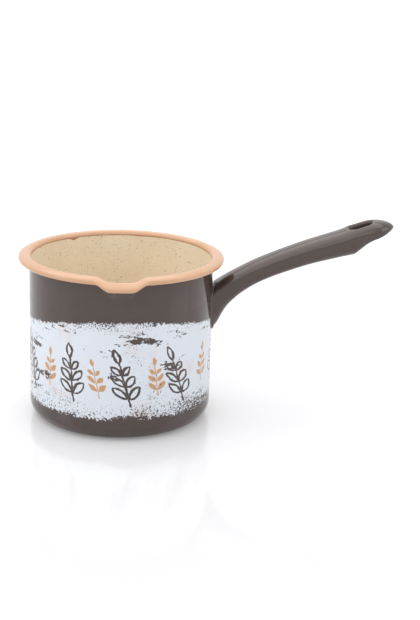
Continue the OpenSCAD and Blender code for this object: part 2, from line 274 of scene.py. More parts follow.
class Wiring:
    """A node tree under construction: of a material, the world or a group."""

    def __init__(self, tree: bpy.types.NodeTree) -> None:
        """Keep the tree that nodes are added to."""
        self.tree = tree

    def node(self, kind: str, inputs: Optional[dict[Any, Any]] = None, **settings: Any) -> bpy.types.Node:
        """Add a node.

        Args:
            kind: Blender's name of the node type.
            inputs: value, socket or signal for each input, by its name or number.
            settings: attributes of the node itself.

        Returns:
            The new node.
        """
        made = self.tree.nodes.new(kind)
        for key, value in settings.items():
            setattr(made, key, value)
        for key, value in (inputs or {}).items():
            self.feed(made.inputs[key], value)
        return made

    def out(
        self, kind: str, output: Union[int, str], inputs: Optional[dict[Any, Any]] = None, **settings: Any
    ) -> Signal:
        """Add a node, as node does, and give its output of that name or number."""
        return Signal(self, self.node(kind, inputs, **settings).outputs[output])

    def feed(self, socket: bpy.types.NodeSocket, value: Any) -> None:
        """Link a socket or signal into an input, or set the input to a plain value.

        Args:
            socket: the input.
            value: what it gets.
        """
        if isinstance(value, Signal):
            value = value.socket
        if isinstance(value, bpy.types.NodeSocket):
            self.tree.links.new(value, socket)
        else:
            socket.default_value = value

    def math(self, operation: str, *values: Number) -> Signal:
        """Result of one Math node."""
        return self.out("ShaderNodeMath", 0, dict(enumerate(values)), operation=operation)

    def largest(self, values: Sequence[Signal]) -> Signal:
        """Largest of the values.

        Args:
            values: one or more of them.

        Returns:
            The largest one.
        """
        result = values[0]
        for value in values[1:]:
            result = self.math("MAXIMUM", result, value)
        return result

    def ramp(
        self, value: Number, low: Number, high: Number, bottom: Number = 0.0, top: Number = 1.0
    ) -> Signal:
        """Smooth change from bottom to top while the value goes from low to high."""
        inputs = {"Value": value, "From Min": low, "From Max": high, "To Min": bottom, "To Max": top}
        return self.out("ShaderNodeMapRange", 0, inputs, interpolation_type="SMOOTHSTEP")

    def noise(self, vector: Signal, scale: Number, detail: float = 2.0, rough: float = 0.5) -> Signal:
        """Cloudy noise from 0 to 1; the scale is in features a metre."""
        inputs = {"Vector": vector, "Scale": scale, "Detail": detail, "Roughness": rough}
        return self.out("ShaderNodeTexNoise", "Fac", inputs)

    def split(self, colour: Any) -> list[Signal]:
        """Red, green and blue of a colour."""
        return [Signal(self, s) for s in self.node("ShaderNodeSeparateColor", {"Color": colour}).outputs]

    def blend(self, share: Number, first: Any, second: Any) -> Signal:
        """Colour that goes from the first to the second with the share.

        Args:
            share: how much of the second there is, from 0 to 1.
            first, second: colours, or signals that carry them.

        Returns:
            The blended colour.
        """
        share_input, first_input, second_input, colour_output = 0, 6, 7, 2
        inputs = {share_input: share, first_input: first, second_input: second}
        return self.out("ShaderNodeMix", colour_output, inputs, data_type="RGBA")

    def seen(self) -> Signal:
        """Tell what is seen from light that only spreads.

        Returns:
            1 for rays of the camera, of reflections and of glass, and 0 for others.
        """
        path = self.node("ShaderNodeLightPath").outputs
        rays = [path[f"Is {kind} Ray"] for kind in ("Camera", "Glossy", "Transmission")]
        return self.largest([Signal(self, ray) for ray in rays])

    def show(self, surface: Any, output: str = "ShaderNodeOutputMaterial") -> None:
        """Make a shader the surface of the material or the world."""
        self.node(output, {"Surface": surface})


def fresh_wiring(owner: Union[bpy.types.Material, bpy.types.World]) -> Wiring:
    """Clear the nodes of a material or of the world and start on new ones.

    Args:
        owner: whose nodes they are.

    Returns:
        Wiring with an empty tree.
    """
    owner.use_nodes = True
    owner.node_tree.nodes.clear()
    return Wiring(owner.node_tree)


def shader_group(
    name: str, inputs: dict[str, Optional[float]], outputs: Sequence[str]
) -> tuple[Wiring, dict[str, Signal], Callable[[str, Any], None]]:
    """Start a shader node group.

    Args:
        name: name of the group.
        inputs: default of each named input; None for a vector.
        outputs: names of the outputs, which are all numbers.

    Returns:
        The wiring, the inputs by name, and a function that feeds an output by name.
    """
    tree = bpy.data.node_groups.new(name, "ShaderNodeTree")
    for key, default in inputs.items():
        kind = "NodeSocketVector" if default is None else "NodeSocketFloat"
        made = tree.interface.new_socket(key, in_out="INPUT", socket_type=kind)
        if default is not None:
            made.default_value = default
    for key in outputs:
        tree.interface.new_socket(key, in_out="OUTPUT", socket_type="NodeSocketFloat")
    entry, leave = tree.nodes.new("NodeGroupInput"), tree.nodes.new("NodeGroupOutput")
    wiring = Wiring(tree)
    given = {s.name: Signal(wiring, s) for s in entry.outputs if s.name}
    return wiring, given, lambda key, value: wiring.feed(leave.inputs[key], value)


class Groups:
    """Shader node groups that several finishes share, each built once."""

    def __init__(self) -> None:
        """Build every group."""
        self.peel = self._peel()
        self.specks = self._specks()
        self.leaf = self._leaf()
        self.sprig = self._sprig()
        self.worn_band = self._worn_band()

    @staticmethod
    def use(wiring: Wiring, group: bpy.types.NodeTree, **inputs: Any) -> dict[str, Signal]:
        """Place a group.

        Args:
            wiring: the tree that it goes into.
            group: the group to place.
            inputs: value or signal for each input; underscores stand for spaces.

        Returns:
            Its outputs by name.
        """
        named = {key.replace("_", " "): value for key, value in inputs.items()}
        made = wiring.node("ShaderNodeGroup", node_tree=group)
        for key, value in named.items():
            wiring.feed(made.inputs[key], value)
        return {s.name: Signal(wiring, s) for s in made.outputs}

    @staticmethod
    def _peel() -> bpy.types.NodeTree:
        """Fired glass surface: a slow sag, a fine peel, and a cloudy tone.

        Returns:
            The group, with the surface's height and its tone.
        """
        inputs = {"Vector": None, "Sag Scale": 45.0, "Peel Scale": 420.0}
        wiring, given, put = shader_group("fired_surface", inputs, ("Height", "Tone"))
        place, sag_scale = given["Vector"], given["Sag Scale"]
        peel_share, cloud_share = 0.12, 0.7
        sag = wiring.noise(place, sag_scale, detail=1.0)
        put("Height", sag + wiring.noise(place, given["Peel Scale"]) * peel_share)
        put("Tone", wiring.noise(place, sag_scale * cloud_share, detail=4.0, rough=0.6))
        return wiring.tree

    @staticmethod
    def _specks() -> bpy.types.NodeTree:
        """Round specks of uneven size, some of the cells left empty.

        Returns:
            The group, with the specks' mask and a shade for each of them.
        """
        inputs = {"Vector": None, "Scale": 600.0, "Size": 0.25, "Share": 0.5}
        wiring, given, put = shader_group("fired_specks", inputs, ("Mask", "Shade"))
        place, scale = given["Vector"], given["Scale"]
        wobble_scale, wobble_size, soft_edge = 1.6, 0.35, 0.75
        wobble = wiring.out("ShaderNodeTexNoise", "Color", {"Vector": place, "Scale": scale * wobble_scale})
        inputs = {0: wobble, "Scale": wiring.math("DIVIDE", wobble_size, scale)}
        shift = wiring.out("ShaderNodeVectorMath", 0, inputs, operation="SCALE")
        warped = wiring.out("ShaderNodeVectorMath", 0, {0: place, 1: shift}, operation="ADD")
        cells = wiring.node("ShaderNodeTexVoronoi", {"Vector": warped, "Scale": scale, "Randomness": 1.0})
        draws = wiring.split(cells.outputs["Color"])
        chosen = wiring.math("LESS_THAN", draws[0], given["Share"])
        radius = given["Size"] * wiring.ramp(draws[1], 0.0, 1.0, bottom=0.45, top=1.3)
        spot = wiring.ramp(cells.outputs["Distance"], radius * soft_edge, radius, bottom=1.0, top=0.0)
        put("Mask", chosen * spot)
        put("Shade", draws[2])
        return wiring.tree

    @staticmethod
    def _leaf() -> bpy.types.NodeTree:
        """Brushed outline of one pointed leaf, and its filled form.

        Returns:
            The group, with the outline's stroke and the fill.
        """
        inputs = {"Across": 0.0, "Up": 0.0, "Centre Across": 0.0, "Centre Up": 0.0, "Turn": 0.0}
        inputs |= {"Half Length": 6.0, "Half Width": 2.2, "Line": 0.5}
        wiring, given, put = shader_group("brushed_leaf", inputs, ("Stroke", "Fill"))
        x, z = given["Across"] - given["Centre Across"], given["Up"] - given["Centre Up"]
        cos, sin = wiring.math("COSINE", given["Turn"]), wiring.math("SINE", given["Turn"])
        share = (x * cos + z * sin) / given["Half Length"]
        edge = given["Half Width"] * (1.0 - share * share)
        outside = abs(z * cos - x * sin) - edge
        line, soft_line, soft_fill, tip = given["Line"], 1.35, 0.2, 1.12
        near = wiring.ramp(abs(outside), line, line * soft_line, bottom=1.0, top=0.0)
        inside = wiring.ramp(abs(share), 1.0, tip, bottom=1.0, top=0.0)
        put("Stroke", near * inside)
        put("Fill", wiring.ramp(outside, -soft_fill, soft_fill, bottom=1.0, top=0.0) * inside)
        return wiring.tree

    def _sprig(self) -> bpy.types.NodeTree:
        """A brushed sprig with a stem, pairs of leaves and one at its top, repeated round the pan.

        Returns:
            The group, with the sprigs' strokes and their filled form.
        """
        inputs = {"Along": 0.0, "Up": 0.0, "Shift": 0.0, "Period": 44.0, "Count": 10.0}
        inputs |= {"Foot": 30.0, "Height": 36.0, "Line": 0.8}
        wiring, given, put = shader_group("brushed_sprigs", inputs, ("Stroke", "Fill"))
        foot_play, lean_play, bend = 6.0, 0.6, 0.006
        stem_top, stem_share, soft_line, soft_end = 0.94, 0.8, 1.5, 0.3
        leaf_turn, leaf_out, leaf_up = 0.78, 0.85, 0.7
        moved = given["Along"] + given["Shift"]
        cell = wiring.math("FLOOR", moved / given["Period"])
        place = wiring.math("FLOORED_MODULO", cell, given["Count"]) + given["Shift"]
        chance = wiring.out("ShaderNodeTexWhiteNoise", "Value", {"W": place}, noise_dimensions="1D")
        side = moved - (cell + 0.5) * given["Period"]
        rise = given["Up"] - (given["Foot"] + chance * foot_play)
        lean = (chance - 0.5) * lean_play
        across = side - lean * (rise + rise * rise * bend)
        leaves = []
        for level, length, width in ((0.2, 0.17, 0.075), (0.46, 0.155, 0.068), (0.7, 0.12, 0.055)):
            centre = (length * leaf_out, level + length * leaf_up)
            leaves.append((abs(across), centre, leaf_turn, length, width))
        leaves.append((across, (0.0, 1.08), math.pi / 2, 0.15, 0.06))
        drawn = []
        for beside, centre, turn, length, width in leaves:
            sizes = {"Half_Length": length, "Half_Width": width}
            sizes |= {"Centre_Across": centre[0], "Centre_Up": centre[1]}
            scaled = {key: given["Height"] * share for key, share in sizes.items()}
            places = {"Across": beside, "Up": rise, "Turn": turn, "Line": given["Line"]}
            drawn.append(self.use(wiring, self.leaf, **places, **scaled))
        slim = given["Line"] * stem_share
        stem = wiring.ramp(abs(across), slim, slim * soft_line, bottom=1.0, top=0.0)
        past_top = rise - given["Height"] * stem_top
        stem *= wiring.ramp(rise, -soft_end, soft_end)
        stem *= wiring.ramp(past_top, -soft_end, soft_end, bottom=1.0, top=0.0)
        for output in ("Stroke", "Fill"):
            put(output, wiring.largest([leaf[output] for leaf in drawn] + [stem]))
        return wiring.tree

    @staticmethod
    def _worn_band() -> bpy.types.NodeTree:
        """Where a worn band of print is left, from its height and its place round the wall.

        Returns:
            The group, with what is left of the print and where it has a warm tone.
        """
        inputs = {"Vector": None, "Up": 0.0, "Lower Edge": 21.0, "Upper Edge": 96.0, "Wear": 1.0}
        wiring, given, put = shader_group("worn_band", inputs, ("Left", "Warm"))
        place, up = given["Vector"], given["Up"]
        coarse = wiring.noise(place, scale=75.0, detail=5.0, rough=0.62)
        fine = wiring.noise(place, scale=560.0, detail=3.0, rough=0.7)
        grain = wiring.noise(place, scale=1300.0, detail=2.0, rough=0.6)
        coarse_mm, fine_mm, upper_share = 8.0, 13.0, 0.75
        ragged = (coarse - 0.5) * coarse_mm + (fine - 0.5) * fine_mm
        above = up + ragged - given["Lower Edge"]
        below = given["Upper Edge"] - (up + ragged * upper_share)
        edge = wiring.math("MINIMUM", wiring.ramp(above, 0.6, 1.2), wiring.ramp(below, 0.6, 1.2))
        low_share = wiring.ramp(above, 0.0, 20.0, bottom=0.115, top=0.0)
        high_share = wiring.ramp(below, 1.0, 16.0, bottom=0.08, top=0.0)
        patches = wiring.noise(place, scale=21.0)
        bare = given["Wear"] * (low_share + high_share + wiring.ramp(patches, 0.5, 0.7, bottom=0.0, top=0.1))
        bare_level, soft_level, torn_share = 0.325, 0.012, 0.2
        mixed = fine * 0.5 + grain * 0.5
        kept = wiring.ramp(mixed - (bare + bare_level), -soft_level, soft_level)
        streaks = wiring.out("ShaderNodeMapping", 0, {"Vector": place, "Scale": (1.0, 1.0, 3.2)})
        torn = wiring.noise(streaks, scale=27.0, detail=5.0, rough=0.7) + (fine - 0.5) * torn_share
        scuffs = wiring.ramp(torn, 0.61, 0.625, bottom=1.0, top=0.0)
        put("Left", edge * kept * scuffs)
        put("Warm", wiring.ramp(wiring.noise(place, scale=38.0, detail=3.0, rough=0.6), 0.55, 0.7))
        return wiring.tree


# Finishes


@dataclass(frozen=True)
class Finish:
    """What every finish has: a name, its colour and how glossy it is."""

    name: str
    colour: Colour
    roughness: float = 0.09
    metallic: float = 0.0
    shine: float = 0.5
    bump_mm: float = 0.02

    def start(self) -> tuple[bpy.types.Material, Wiring, bpy.types.Node, Signal]:
        """Make a material with only a shader in it.

        Returns:
            The material, its wiring, the shader and the object coordinates.
        """
        material = bpy.data.materials.new(self.name)
        wiring = fresh_wiring(material)
        material.diffuse_color = self.colour
        inputs = {"Base Color": self.colour, "Roughness": self.roughness}
        inputs |= {"Metallic": self.metallic, "Specular IOR Level": self.shine}
        shader = wiring.node("ShaderNodeBsdfPrincipled", inputs)
        wiring.show(shader.outputs[0])
        return material, wiring, shader, wiring.out("ShaderNodeTexCoord", "Object")

    def bump(self, wiring: Wiring, shader: bpy.types.Node, height: Signal) -> None:
        """Let a height map shape the shader's normal."""
        inputs = {"Height": height, "Distance": self.bump_mm * MM, "Strength": 1.0}
        wiring.feed(shader.inputs["Normal"], wiring.out("ShaderNodeBump", 0, inputs))


@dataclass(frozen=True, kw_only=True)
class PlainEnamel(Finish):
    """Glossy fired enamel of one colour with a faintly cloudy tone, and a painted darker shade where the
    mesh's edge-shade attribute is set.
    """

    cloud: Colour
    cloud_share: float
    thin: Colour

    def build(self, groups: Groups) -> bpy.types.Material:
        """Make the material from the shared groups.

        Args:
            groups: the shared groups.

        Returns:
            The material.
        """
        material, wiring, shader, place = self.start()
        surface = groups.use(wiring, groups.peel, Vector=place)
        share = wiring.ramp(surface["Tone"], 0.35, 0.7, bottom=0.0, top=self.cloud_share)
        clouded = wiring.blend(share, self.colour, self.cloud)
        # Painted shade: the edge attribute blends in the darker edge colour.
        thin = wiring.out("ShaderNodeAttribute", "Fac", attribute_name=EDGE_SHADE)
        glossy, dull = self.roughness * 0.85, self.roughness * 1.3
        wiring.feed(shader.inputs["Base Color"], wiring.blend(thin, clouded, self.thin))
        wiring.feed(shader.inputs["Roughness"], wiring.ramp(surface["Tone"], 0.3, 0.8, glossy, dull))
        self.bump(wiring, shader, surface["Height"])
        return material


@dataclass(frozen=True, kw_only=True)
class SpeckledEnamel(Finish):
    """Pale lining enamel with two sizes of dark fired specks."""

    speck: Colour
    warm: Colour

    def build(self, groups: Groups) -> bpy.types.Material:
        """Make the material from the shared groups.

        Args:
            groups: the shared groups.

        Returns:
            The material.
        """
        material, wiring, shader, place = self.start()
        surface = groups.use(wiring, groups.peel, Vector=place)
        warm = wiring.ramp(surface["Tone"], 0.3, 0.75, bottom=0.0, top=0.6)
        fine = groups.use(wiring, groups.specks, Vector=place, Scale=900.0, Size=0.32, Share=0.4)
        some = groups.use(wiring, groups.specks, Vector=place, Scale=430.0, Size=0.17, Share=0.3)
        faint = fine["Mask"] * wiring.ramp(fine["Shade"], 0.0, 1.0, bottom=0.1, top=0.5)
        strong = some["Mask"] * wiring.ramp(some["Shade"], 0.0, 1.0, bottom=0.4, top=0.95)
        ground = wiring.blend(warm, self.colour, self.warm)
        specked = wiring.blend(wiring.largest([faint, strong]), ground, self.speck)
        wiring.feed(shader.inputs["Base Color"], specked)
        self.bump(wiring, shader, surface["Height"])
        return material


@dataclass(frozen=True, kw_only=True)
class WornPrint(Finish):
    """Pale print fired on brown enamel, worn at its edges, with brushed sprigs left open in it."""

    ground: Colour
    warm: Colour
    berry: Colour
    wall_r_mm: float = 70.0
    lower_edge_mm: float = 17.5
    upper_edge_mm: float = 93.5
    side_drop_mm: float = 6.5
    sprigs: int = 10
    shake_mm: float = 3.4
    print_t_share: float = 0.8

    def build(self, groups: Groups) -> bpy.types.Material:
        """Make the material from the shared groups.

        Args:
            groups: the shared groups.

        Returns:
            The material.
        """
        material, wiring, shader, place = self.start()
        x, y, z = (Signal(wiring, s) for s in wiring.node("ShaderNodeSeparateXYZ", {0: place}).outputs)
        angle = wiring.math("ARCTAN2", x, y * -1.0)
        along, up = angle * self.wall_r_mm, z * (1 / MM)
        top = self.upper_edge_mm - (1.0 - wiring.math("COSINE", angle * 2.0)) * self.side_drop_mm
        edges = {"Lower_Edge": self.lower_edge_mm, "Upper_Edge": top}
        band = groups.use(wiring, groups.worn_band, Vector=place, Up=up, **edges)
        inputs = {"Vector": place, "Scale": 150.0, "Detail": 6.0, "Roughness": 0.62}
        shake = wiring.split(wiring.out("ShaderNodeTexNoise", "Color", inputs))
        period = math.tau * self.wall_r_mm / self.sprigs
        motif = {
            "Along": along + (shake[0] - 0.5) * self.shake_mm,
            "Up": up + (shake[1] - 0.5) * self.shake_mm,
            "Period": period,
            "Count": float(self.sprigs),
        }
        line = wiring.ramp(shake[2], 0.3, 0.7, bottom=0.5, top=1.0)
        open_sizes = {"Shift": period * 0.32, "Foot": 26.0, "Height": 37.0, "Line": line}
        filled_sizes = {"Shift": period * 0.84, "Foot": 33.0, "Height": 25.0, "Line": 0.4}
        outlined = groups.use(wiring, groups.sprig, **motif, **open_sizes)
        filled = groups.use(wiring, groups.sprig, **motif, **filled_sizes)
        tint = wiring.blend(band["Warm"] * 0.5, self.colour, self.warm)
        berries = wiring.blend(filled["Fill"], tint, self.berry)
        left = band["Left"] * (1.0 - outlined["Stroke"])
        surface = groups.use(wiring, groups.peel, Vector=place)
        dull = self.roughness * 2.6
        wiring.feed(shader.inputs["Base Color"], wiring.blend(left, self.ground, berries))
        wiring.feed(shader.inputs["Roughness"], wiring.ramp(left, 0.0, 1.0, self.roughness, dull))
        self.bump(wiring, shader, surface["Height"] + left * self.print_t_share)
        return material


@dataclass(frozen=True, kw_only=True)
class BareMetal(Finish):
    """Drawn or welded steel under the enamel, with fine lines and heat tint."""

    tint: Colour
    lines: tuple[float, float, float] = (30.0, 30.0, 700.0)

    def build(self, groups: Groups) -> bpy.types.Material:
        """Make the material from the shared groups.

        Args:
            groups: the shared groups.

        Returns:
            The material.
        """
        material, wiring, shader, place = self.start()
        stretched = wiring.out("ShaderNodeMapping", 0, {"Vector": place, "Scale": self.lines})
        brushed = wiring.noise(stretched, scale=8.0, detail=4.0, rough=0.65)
        tone = groups.use(wiring, groups.peel, Vector=place)["Tone"]
        dull = self.roughness * 1.5
        tinted = wiring.blend(wiring.ramp(tone, 0.4, 0.75), self.colour, self.tint)
        wiring.feed(shader.inputs["Base Color"], tinted)
        wiring.feed(shader.inputs["Roughness"], wiring.ramp(brushed, 0.3, 0.7, self.roughness, dull))
        self.bump(wiring, shader, brushed)
        return material


@dataclass
class Finishes:
    """Every finish of the pan, built once."""

    groups: Groups = field(default_factory=Groups)
    built: dict[str, bpy.types.Material] = field(default_factory=dict)

    def __post_init__(self) -> None:
        """Build the materials from their frozen descriptions."""
        brown, print_white = srgb(76, 63, 58), srgb(228, 234, 243)
        peach, cream = srgb(216, 171, 136), srgb(245, 231, 209)
        brown_tones = {"cloud": srgb(82, 69, 63), "cloud_share": 0.5, "thin": srgb(96, 84, 78)}
        # The peach enamel's edge colour is painted shade at the step from the rim onto the lining.
        peach_tones = {"cloud": srgb(209, 161, 124), "cloud_share": 0.6, "thin": srgb(150, 104, 70)}
        cream_tones = {"speck": srgb(72, 50, 36), "warm": srgb(235, 219, 189)}
        print_tones = {"ground": brown, "warm": srgb(229, 210, 208), "berry": srgb(206, 158, 112)}
        sheet_tones = {"metallic": 1.0, "tint": srgb(128, 124, 120)}
        weld_tones = {"metallic": 1.0, "tint": srgb(104, 92, 84), "lines": (250.0, 250.0, 250.0)}
        kinds = (
            PlainEnamel(Slot.BROWN.value, brown, **brown_tones),
            PlainEnamel(Slot.PEACH.value, peach, roughness=0.14, **peach_tones),
            SpeckledEnamel(Slot.CREAM.value, cream, roughness=0.16, **cream_tones),
            WornPrint(Slot.PRINT.value, print_white, roughness=0.13, **print_tones),
            BareMetal(Slot.STEEL.value, srgb(150, 153, 156), roughness=0.34, **sheet_tones),
            BareMetal(Slot.WELD.value, srgb(118, 120, 124), roughness=0.42, **weld_tones),
        )
        for kind in kinds:
            self.built[kind.name] = kind.build(self.groups)

    def __getitem__(self, slot: Slot) -> bpy.types.Material:
        """Material of a record slot."""
        return self.built[slot.value]


# The pan's body


@dataclass
class PanBody:
    """The body's sheet and the coats that follow it, with the CAD source's sizes."""

    body_d: float = 140.0
    body_h: float = 127.0
    corner_r: float = 11.5
    body_sheet_t: float = 0.9
    enamel_t: float = 0.3
    shoulder_r: float = 3.0
    rim_crown_r: float = 13.0
    rim_edge_r: float = 2.0
    curl_gap: float = 0.5
    lip_half_w: float = 19.0
    lip_out: float = 6.0
    lip_dip: float = 2.2
    lip_droop: float = 1.8
    lip_trough_h: float = 18.0
    lip_flat_share: float = 0.35
    trough_foot_share: float = 0.3
    trough_coat_t: float = 0.12
    trough_coat_reach: float = 1.3
    trough_coat_steepness: float = 3.0
    lining_turn: float = 5.0
    crown_turn: float = 25.0
    edge_turn: float = 172.0
    turn_step: float = 4.0
    rings: int = 480
    over: float = 0.5
    over_sunk: float = 0.05
    over_shares: tuple[float, ...] = (1.0, 0.93, 0.8, 0.6, 0.3)
    over_bead: tuple[float, ...] = (0.0, 0.55, 0.9, 1.0, 1.0)
    # Painted shade at the rim coat's inner edge, strongest at the very edge.
    over_thin: tuple[float, ...] = (1.0, 1.0, 0.85, 0.6, 0.4, 0.25, 0.1)
    over_waves: tuple[tuple[float, ...], ...] = (
        (7, 0.09, 0.4),
        (13, 0.07, 1.9),
        (23, 0.05, 3.1),
        (41, 0.03, 0.2),
    )
    bead_t: float = 0.12
    bead_rows: float = 16.0
    drip_angle: float = math.radians(-146.0)
    drip_len: float = 1.5
    drip_half_angle: float = 0.04

    def __post_init__(self) -> None:
        """Work out the sheet's path from the base's middle to the end of the curl."""
        self.body_r = self.body_d / 2
        self.half_sheet = self.body_sheet_t / 2
        self.face_out = self.half_sheet + self.enamel_t
        wall_mid_r = self.body_r - self.face_out
        self.trough_z = self.body_h - self.shoulder_r - self.lip_trough_h
        self.lip_a = self.lip_half_w / self.body_r
        crown_r, edge_r = self.rim_crown_r - self.face_out, self.rim_edge_r - self.face_out
        shoulder_r, corner_r = self.shoulder_r - self.face_out, self.corner_r - self.face_out
        crown_a, heading = math.radians(self.crown_turn), math.radians(self.crown_turn + self.edge_turn)
        curl_r = wall_mid_r + shoulder_r + crown_r * math.sin(crown_a)
        curl_r += edge_r * (math.sin(heading) - math.sin(crown_a))
        tuck = (curl_r - self.body_r - self.curl_gap) / -math.cos(heading)
        # A run is its length, or its radius where it turns, then its turn in degrees and its steps.
        # Where the steps are 0 they follow from the turn.
        runs = {
            Run.BASE: (wall_mid_r - corner_r, 0.0, 12),
            Run.CORNER: (corner_r, 90.0, 0),
            Run.WALL: (self.trough_z - self.corner_r, 0.0, 24),
            Run.TROUGH: (self.lip_trough_h, 0.0, 18),
            Run.LINING_TURN: (shoulder_r, -self.lining_turn, 0),
            Run.SHOULDER: (shoulder_r, self.lining_turn - 90.0, 0),
            Run.CROWN: (crown_r, -self.crown_turn, 0),
            Run.EDGE: (edge_r, -self.edge_turn, 0),
            Run.TUCK: (tuck, 0.0, 3),
        }
        place, turned = np.array([0.0, self.face_out]), 0.0
        self.stretches: list[np.ndarray] = []
        for size, turn, steps in runs.values():
            count = steps or max(3, math.ceil(abs(turn) / self.turn_step))
            rows = []
            for share in np.arange(count + 1) / count:
                now = turned + math.radians(turn) * share
                if turn:
                    moved = math.copysign(size, turn) * (left_of(turned) - left_of(now))
                else:
                    moved = share * size * np.array([math.cos(now), math.sin(now)])
                rows.append([*(place + moved), now])
            self.stretches.append(np.array(rows))
            place, turned = self.stretches[-1][-1, :2], turned + math.radians(turn)

    def stretch(self, first: Run, last: Run) -> np.ndarray:
        """Rows of radius, height and heading along part of the sheet."""
        rows = [self.stretches[first]] + [s[1:] for s in self.stretches[first + 1 : last + 1]]
        return np.vstack(rows)

    @staticmethod
    def beside(rows: np.ndarray, off: Values) -> np.ndarray:
        """Points at a distance to the left of the path, as radius and height."""
        return rows[:, :2] + left_of(rows[:, 2]) * np.reshape(off, (-1, 1))

    def pushed(self, outline: np.ndarray, angle: float) -> np.ndarray:
        """Outline at an angle from the lip, with the pouring lip's push.

        The coat on the trough's face is a little thicker, so that it covers the sheet's flanks.

        Args:
            outline: radius and height of each point before the push.
            angle: angle from the lip's middle.

        Returns:
            The pushed outline.
        """
        up = np.clip((outline[:, 1] - self.trough_z) / self.lip_trough_h, 0, 1)
        reach = self.lip_a * (self.trough_foot_share + (1 - self.trough_foot_share) * up)
        side = np.clip((1 - abs(angle) / reach) / (1 - self.lip_flat_share), 0, 1)
        push = ease(up) * ease(side)
        rim_run = self.rim_edge_r + self.rim_crown_r / 2
        out_share = np.clip((outline[:, 0] - self.body_r) / rim_run, 0, 1)
        on_face = np.abs(outline[:, 0] - self.body_r) < self.enamel_t / 2
        beside_lip = ease(self.trough_coat_steepness * (self.trough_coat_reach - abs(angle) / self.lip_a))
        moved = outline.copy()
        moved[:, 0] += push * self.lip_out + self.trough_coat_t * on_face * ease(up) ** 0.5 * beside_lip
        moved[:, 1] -= push * (self.lip_dip + self.lip_droop * out_share)
        return moved

    def revolve(
        self, name: str, outline_at: Callable[[float], np.ndarray], thin: Optional[np.ndarray] = None
    ) -> bpy.types.Object:
        """Closed coat from its outline at each angle, with the lip pressed in.

        Args:
            name: name of the piece.
            outline_at: gives the outline as radius and height at an angle from the lip.
            thin: how much painted shade each point of the outline gets.

        Returns:
            The mesh object.
        """
        points = []
        for i in range(self.rings):
            angle = math.tau * i / self.rings
            near = wrapped(angle)
            radius, height = self.pushed(outline_at(near), near).T
            turned = angle - math.pi / 2
            points.append(np.column_stack([radius * math.cos(turned), radius * math.sin(turned), height]))
        numbers = ring_numbers(self.rings, len(points[0]))
        shades = None if thin is None else np.tile(thin, self.rings)
        return mesh_object(name, np.vstack(points), ring_faces(numbers + numbers[:1]), shades)

    def coat(self, name: str, first: Run, last: Run, low: float, high: float) -> bpy.types.Object:
        """Coat on part of the sheet's path.

        Args:
            name: name of the piece.
            first, last: runs of the path where it starts and ends.
            low, high: how far its two faces are to the left of the sheet's middle.

        Returns:
            The mesh object.
        """
        rows = self.stretch(first, last)
        outline = np.vstack([self.beside(rows, low), self.beside(rows, high)[::-1]])
        return self.revolve(name, lambda angle: outline)

    def rim_outline(self, angle: float) -> np.ndarray:
        """Outline of the rim's coat, whose inner edge wanders over the lining and drips at one place.

        Args:
            angle: angle from the lip's middle.

        Returns:
            Radius and height of each point.
        """
        wander = sum(size * math.sin(count * angle + phase) for count, size, phase in self.over_waves)
        from_drip = wrapped(angle - self.drip_angle)
        drip = self.drip_len * math.exp(-((from_drip / self.drip_half_angle) ** 2))
        over = self.over + wander + drip
        radius, height, heading = self.stretches[Run.TROUGH][-1]
        early = np.array([[radius, height - share * over, heading] for share in self.over_shares])
        late = self.stretch(Run.SHOULDER, Run.TUCK)
        faded = ease(1 - np.arange(len(late)) / self.bead_rows)
        raised = self.bead_t * (1 + drip / 2) * np.concatenate([self.over_bead, faded])
        sunk = np.full(len(early), self.face_out - self.over_sunk)
        inner = np.concatenate([sunk, np.full(len(late), self.half_sheet)])
        rows = np.vstack([early, late])
        return np.vstack([self.beside(rows, inner), self.beside(rows, self.face_out + raised)[::-1]])

    def rim_thin(self) -> np.ndarray:
        """How much painted shade each point of the rim coat's outline gets, most at its inner edge over the
        lining.

        Returns:
            A value from 0 to 1 a point.
        """
        edge = np.zeros(len(self.over_shares) + len(self.stretch(Run.SHOULDER, Run.TUCK)))
        edge[: len(self.over_thin)] = self.over_thin
        return np.concatenate([edge, edge[::-1]])

    def build(self, finishes: Finishes) -> None:
        """Make and dress the wall's coat, the lining and the rim.

        Args:
            finishes: what they are dressed in.
        """
        wall = self.coat("wall_coat", Run.BASE, Run.TROUGH, -self.face_out, -self.half_sheet)
        finish_piece(wall, Slot.BROWN, finishes[Slot.BROWN], "outer_enamel")
        lining = self.coat("lining_coat", Run.BASE, Run.LINING_TURN, self.half_sheet, self.face_out)
        finish_piece(lining, Slot.CREAM, finishes[Slot.CREAM], "lining_enamel")
        rim = self.revolve("rim_coat", self.rim_outline, self.rim_thin())
        finish_piece(rim, Slot.PEACH, finishes[Slot.PEACH], "rim_enamel")


# The hollow handle


